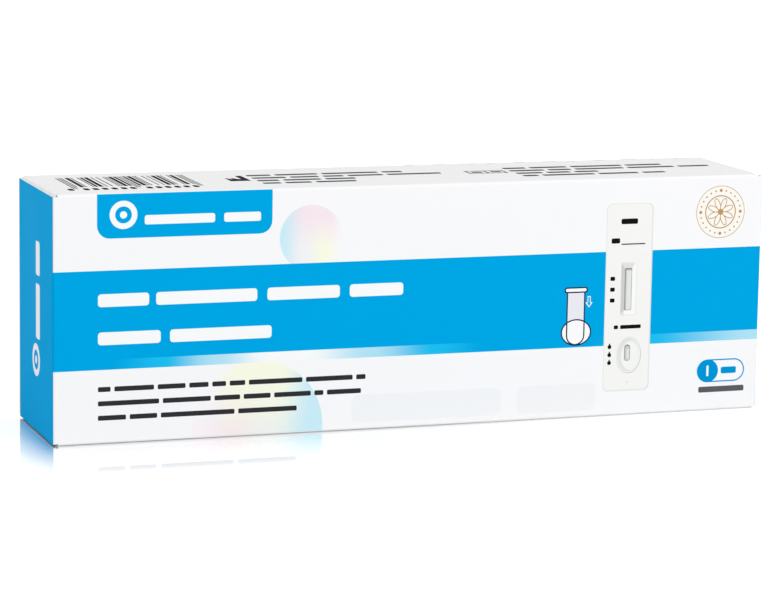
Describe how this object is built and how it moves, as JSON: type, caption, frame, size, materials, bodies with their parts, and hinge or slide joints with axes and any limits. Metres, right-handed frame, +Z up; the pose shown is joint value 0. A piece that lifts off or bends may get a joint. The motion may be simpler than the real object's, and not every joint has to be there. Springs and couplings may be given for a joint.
{
  "type": "rapid test kit carton",
  "caption": "Folding carton of a self-test kit: a long white box with a blue band, a hinged tuck flap at each end, and its pouch, swab, tube, dropper and leaflet inside.",
  "frame": {"origin": "middle of the face that the carton stands on", "axes": "X along the carton, -Y out of the printed front, Z up"},
  "size_m": [0.16, 0.032, 0.0525],
  "materials": {
    "carton_board": "printed and varnished, satin",
    "left_flap_board": "printed and varnished, satin",
    "right_flap_board": "printed and varnished, satin",
    "leaflet_paper": "thin uncoated sheet, matt",
    "pouch_foil": "laminated foil, satin",
    "swab_film": "paper and clear film packet, satin",
    "tube_plastic": "soft translucent plastic",
    "buffer_liquid": "clear watery liquid",
    "seal_foil": "thin lidding foil, satin",
    "dropper_plastic": "soft translucent plastic"
  },
  "bodies": {
    "carton_body": {"carton": "carton_board", "instruction_leaflet": "leaflet_paper", "cassette_pouch": "pouch_foil", "swab_pack": "swab_film", "extraction_tube": "tube_plastic", "tube_buffer": "buffer_liquid", "tube_seal": "seal_foil", "dropper_tip": "dropper_plastic"},
    "left_flap": {"left_tuck_flap": "left_flap_board"},
    "right_flap": {"right_tuck_flap": "right_flap_board"}
  },
  "joints": [
    {"name": "left_flap_hinge", "type": "hinge", "parent": "carton_body", "child": "left_flap", "pos_m": [-0.07987, -0.01587, 0.02625], "axis": [0, 0, 1], "range_deg": [0, 180]},
    {"name": "right_flap_hinge", "type": "hinge", "parent": "carton_body", "child": "right_flap", "pos_m": [0.07987, -0.01587, 0.02625], "axis": [0, 0, -1], "range_deg": [0, 180]}
  ]
}
